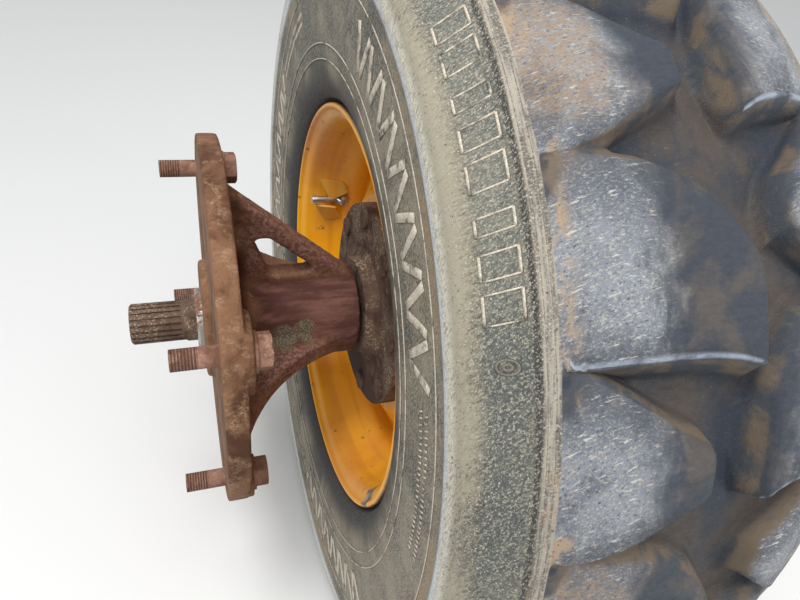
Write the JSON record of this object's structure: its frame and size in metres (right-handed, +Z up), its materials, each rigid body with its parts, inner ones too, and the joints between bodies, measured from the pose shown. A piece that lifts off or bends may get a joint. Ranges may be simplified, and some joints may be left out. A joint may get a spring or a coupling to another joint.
{
  "type": "skid steer loader wheel and axle end",
  "caption": "Lugged skid steer tyre on a yellow welded rim, turning on a flanged cast axle housing with ribs, shaft and bearings.",
  "frame": {"origin": "centre of the housing's mounting face, on the axle's axis", "axes": "+X outboard along the axle, +Z up, -Y towards the front of the machine"},
  "size_m": [0.5013, 0.844, 0.8432],
  "materials": {
    "cast_iron": "rough rusted sand casting",
    "forged_steel": "rust with caked grit on a forging",
    "bolt_steel": "rusted fasteners",
    "machined_steel": "oiled steel with light rust",
    "bearing_steel": "ground bearing steel",
    "seal_rubber": "moulded black rubber",
    "yellow_paint": "yellow machine enamel, chipped and dusty",
    "valve_metal": "dull metal",
    "tyre_rubber": "worn black rubber under dried tan dust"
  },
  "bodies": {
    "housing": {"axle_housing": "cast_iron", "flange_bolts": "bolt_steel", "flange_washers": "bolt_steel", "inner_bearing_cup": "bearing_steel", "outer_bearing_cup": "bearing_steel", "shaft_seal": "seal_rubber"},
    "wheel": {"inner_bearing_cone": "bearing_steel", "outer_bearing_cone": "bearing_steel", "bearing_nut": "machined_steel", "tab_washer": "machined_steel", "axle_shaft": "forged_steel", "wheel_studs": "machined_steel", "wheel_nuts": "machined_steel", "wheel_disc": "yellow_paint", "rim": "yellow_paint", "valve_stem": "valve_metal", "valve_cap": "valve_metal", "valve_guard": "yellow_paint", "tyre": "tyre_rubber"}
  },
  "joints": [
    {"name": "wheel_spin", "type": "hinge", "parent": "housing", "child": "wheel", "pos_m": [0, 0, 0], "axis": [1, 0, 0], "continuous": true}
  ]
}
